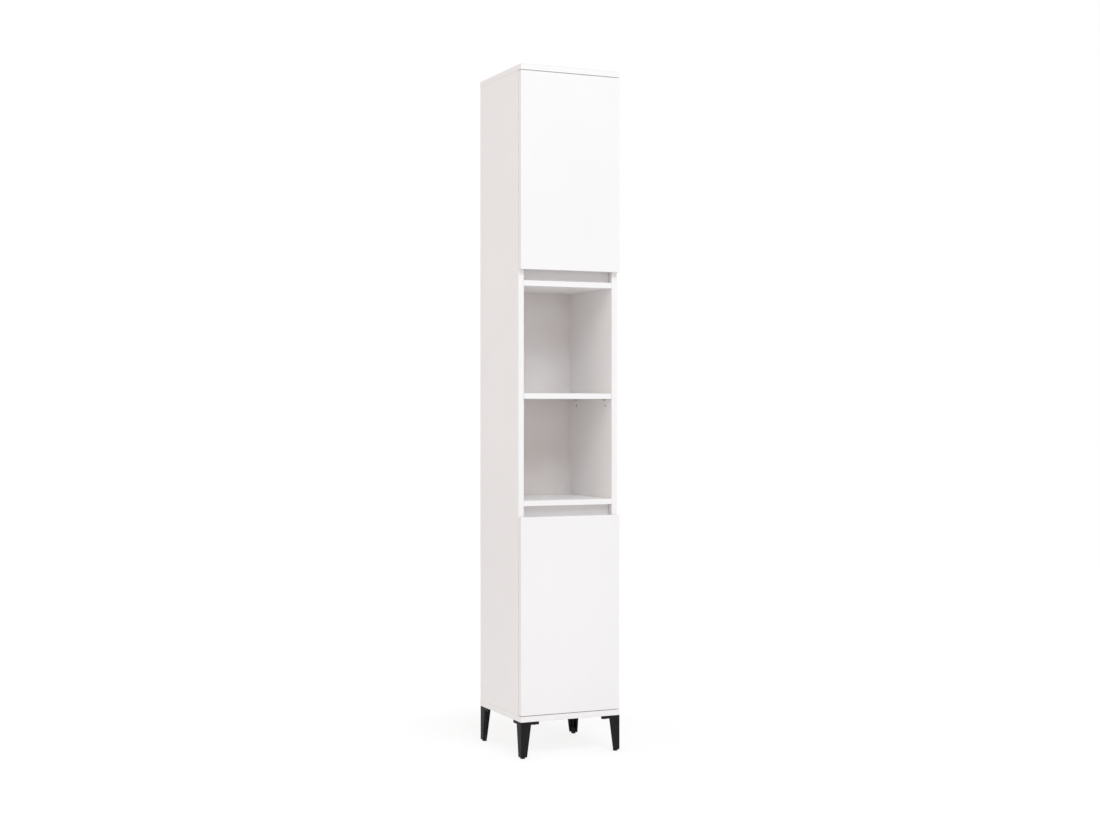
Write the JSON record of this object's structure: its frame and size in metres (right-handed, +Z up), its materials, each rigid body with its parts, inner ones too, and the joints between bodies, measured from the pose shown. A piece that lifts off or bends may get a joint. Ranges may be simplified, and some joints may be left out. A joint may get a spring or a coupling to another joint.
{
  "type": "tall bathroom cabinet",
  "caption": "Tall slim cabinet on four angled legs, with a hinged door above and below two open shelf bays and a finger recess at each door.",
  "frame": {"origin": "on the floor under the middle of the cabinet", "axes": "+Z up, doors face -Y, back against a wall at +Y"},
  "size_m": [0.3, 0.3, 1.9],
  "materials": {
    "white_board": "satin white melamine",
    "back_board": "hardboard, white lacquer inside, raw brown outside",
    "plated_steel": "nickel-plated pressed steel",
    "cast_zinc": "nickel-plated zinc casting",
    "dowel_wood": "raw beech",
    "leg_plastic": "fine matt moulded black",
    "glide_plastic": "smooth moulded black",
    "clear_bumper": "soft translucent pad"
  },
  "bodies": {
    "root": {"top_panel": "white_board", "bottom_panel": "white_board", "left_side_panel": "white_board", "right_side_panel": "white_board", "upper_fixed_shelf": "white_board", "lower_fixed_shelf": "white_board", "middle_shelf": "white_board", "upper_grip_rail": "white_board", "lower_grip_rail": "white_board", "upper_inner_shelf": "white_board", "lower_inner_shelf": "white_board", "back_panel": "back_board", "wall_bracket": "plated_steel", "cam_locks": "cast_zinc", "cam_bolts": "plated_steel", "dowels": "dowel_wood", "shelf_pins": "plated_steel", "back_staples": "plated_steel", "front_left_leg": "leg_plastic", "front_right_leg": "leg_plastic", "rear_right_leg": "leg_plastic", "rear_left_leg": "leg_plastic", "leg_glides": "glide_plastic", "upper_door_low_hinge_arm": "plated_steel", "upper_door_low_hinge_plate": "cast_zinc", "upper_door_high_hinge_arm": "plated_steel", "upper_door_high_hinge_plate": "cast_zinc", "lower_door_low_hinge_arm": "plated_steel", "lower_door_low_hinge_plate": "cast_zinc", "lower_door_high_hinge_arm": "plated_steel", "lower_door_high_hinge_plate": "cast_zinc"},
    "upper_door_body": {"upper_door": "white_board", "upper_door_bumpers": "clear_bumper", "upper_door_low_hinge_cup": "cast_zinc", "upper_door_high_hinge_cup": "cast_zinc"},
    "lower_door_body": {"lower_door": "white_board", "lower_door_bumpers": "clear_bumper", "lower_door_low_hinge_cup": "cast_zinc", "lower_door_high_hinge_cup": "cast_zinc"}
  },
  "joints": [
    {"name": "upper_door_swing", "type": "hinge", "parent": "root", "child": "upper_door_body", "pos_m": [0.145, -0.145, 1.611], "axis": [0, 0, 1], "range_deg": [0, 95]},
    {"name": "lower_door_swing", "type": "hinge", "parent": "root", "child": "lower_door_body", "pos_m": [0.145, -0.145, 0.389], "axis": [0, 0, 1], "range_deg": [0, 95]}
  ]
}
